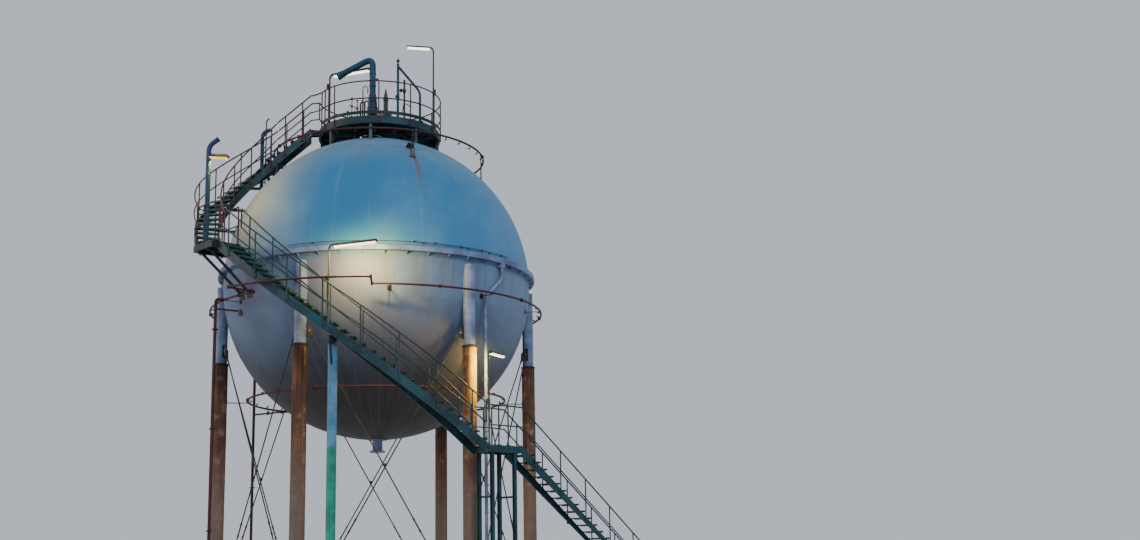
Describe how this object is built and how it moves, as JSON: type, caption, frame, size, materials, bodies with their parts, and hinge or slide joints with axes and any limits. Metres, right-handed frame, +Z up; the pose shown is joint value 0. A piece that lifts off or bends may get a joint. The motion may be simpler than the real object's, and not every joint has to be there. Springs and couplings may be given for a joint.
{
  "type": "spherical gas tank",
  "caption": "Spherical gas tank on cased tubular legs with crossed rods, water spray rings, a stair that winds round the vessel and a railed platform on its crown.",
  "frame": {"origin": "middle of the bounding box's bottom face, at ground level", "axes": "+Z up, -Y towards the viewer of the picture and +X to the viewer's right"},
  "size_m": [14.6178, 11.8546, 18.6252],
  "materials": {
    "shell_paint": "weathered pale paint, satin",
    "casing_concrete": "rough stained concrete",
    "steelwork_paint": "weathered teal paint",
    "green_rail_paint": "weathered green paint",
    "maroon_rail_paint": "weathered maroon paint",
    "spray_paint": "dull dark red paint",
    "vent_paint": "satin blue paint",
    "lamp_paint": "dull olive paint"
  },
  "bodies": {
    "root": {"bottom_crown": "shell_paint", "lower_course": "shell_paint", "upper_course": "shell_paint", "top_crown": "shell_paint", "bottom_outlet": "shell_paint", "rain_gutter": "shell_paint", "front_gutter": "shell_paint", "drain_pipe": "shell_paint", "leg_1": "shell_paint", "leg_2": "shell_paint", "leg_3": "shell_paint", "leg_4": "shell_paint", "leg_5": "shell_paint", "leg_6": "shell_paint", "crown_manway": "shell_paint", "bay_rods_1": "shell_paint", "bay_rods_2": "shell_paint", "bay_rods_3": "shell_paint", "bay_rods_4": "shell_paint", "bay_rods_5": "shell_paint", "bay_rods_6": "shell_paint", "leg_casing_1": "casing_concrete", "leg_casing_2": "casing_concrete", "leg_casing_3": "casing_concrete", "leg_casing_4": "casing_concrete", "leg_casing_5": "casing_concrete", "leg_casing_6": "casing_concrete", "top_spray_ring": "spray_paint", "middle_spray_ring": "spray_paint", "lower_spray_ring": "spray_paint", "spray_riser": "spray_paint", "lower_curved_flight": "steelwork_paint", "upper_curved_flight": "steelwork_paint", "top_flight": "steelwork_paint", "ground_flight": "steelwork_paint", "low_landing": "steelwork_paint", "middle_landing": "steelwork_paint", "stair_post": "steelwork_paint", "platform_frame": "steelwork_paint", "platform_deck": "steelwork_paint", "lower_outer_handrail": "green_rail_paint", "lower_inner_handrail": "green_rail_paint", "ground_outer_handrail": "green_rail_paint", "ground_inner_handrail": "green_rail_paint", "upper_outer_handrail": "maroon_rail_paint", "upper_inner_handrail": "maroon_rail_paint", "top_far_handrail": "maroon_rail_paint", "top_near_handrail": "maroon_rail_paint", "platform_handrail": "maroon_rail_paint", "vent_stack": "vent_paint", "relief_valve": "vent_paint", "davit": "vent_paint", "side_vent": "vent_paint", "landing_vent": "vent_paint", "gooseneck_vent": "lamp_paint", "platform_lamp_right": "lamp_paint", "platform_lamp_left": "lamp_paint", "stair_lamp": "lamp_paint", "landing_lamp": "lamp_paint"}
  },
  "joints": []
}
